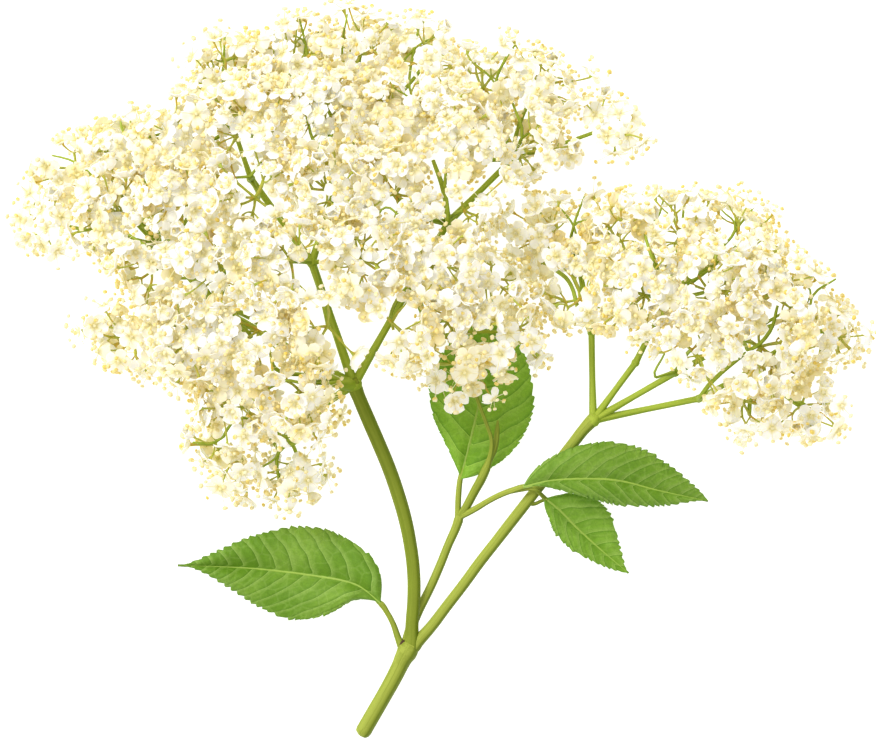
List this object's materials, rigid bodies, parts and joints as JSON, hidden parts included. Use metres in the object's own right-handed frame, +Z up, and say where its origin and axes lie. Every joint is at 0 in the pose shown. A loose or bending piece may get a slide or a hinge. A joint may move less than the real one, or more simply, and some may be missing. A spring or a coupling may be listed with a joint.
{
  "type": "elderflower sprig",
  "caption": "Cut sprig of elder in flower, laid flat: a forked green stem, serrated leaflets and dense flat-topped heads of small cream flowers.",
  "frame": {"origin": "centre of the sprig's box in plan, on the surface it lies on", "axes": "+X across the sprig from the large head to the small head, +Y from the cut end to the heads, +Z up from the surface, the way the flowers face"},
  "size_m": [0.2184, 0.1834, 0.0497],
  "materials": {
    "stem": "fresh green stem, satin, olive on the large stalk and yellow-green on the others",
    "leaf": "fresh leaf, satin, with a net of paler veins",
    "flowers": "matt cream petals with pale yellow anthers on green flower stalks"
  },
  "bodies": {
    "root": {"stem": "stem", "leaf_left": "leaf", "leaf_middle": "leaf", "leaf_right": "leaf", "leaf_small": "leaf", "spray_main_01": "flowers", "spray_main_02": "flowers", "spray_main_03": "flowers", "spray_main_04": "flowers", "spray_main_05": "flowers", "spray_main_06": "flowers", "spray_main_07": "flowers", "spray_main_08": "flowers", "spray_main_09": "flowers", "spray_main_10": "flowers", "spray_main_11": "flowers", "spray_main_12": "flowers", "spray_main_13": "flowers", "spray_main_14": "flowers", "spray_main_15": "flowers", "spray_main_16": "flowers", "spray_main_17": "flowers", "spray_main_18": "flowers", "spray_main_19": "flowers", "spray_main_20": "flowers", "spray_main_21": "flowers", "spray_main_22": "flowers", "spray_main_23": "flowers", "spray_main_24": "flowers", "spray_main_25": "flowers", "spray_main_26": "flowers", "spray_main_27": "flowers", "spray_main_28": "flowers", "spray_main_29": "flowers", "spray_main_30": "flowers", "spray_main_31": "flowers", "spray_main_32": "flowers", "spray_main_33": "flowers", "spray_main_34": "flowers", "spray_main_35": "flowers", "spray_main_36": "flowers", "spray_main_37": "flowers", "spray_main_38": "flowers", "spray_main_39": "flowers", "spray_side_01": "flowers", "spray_side_02": "flowers", "spray_side_03": "flowers", "spray_side_04": "flowers", "spray_side_05": "flowers", "spray_side_06": "flowers", "spray_side_07": "flowers", "spray_side_08": "flowers", "spray_side_09": "flowers", "spray_side_10": "flowers", "spray_side_11": "flowers", "spray_side_12": "flowers", "spray_side_13": "flowers", "spray_low": "flowers"}
  },
  "joints": []
}
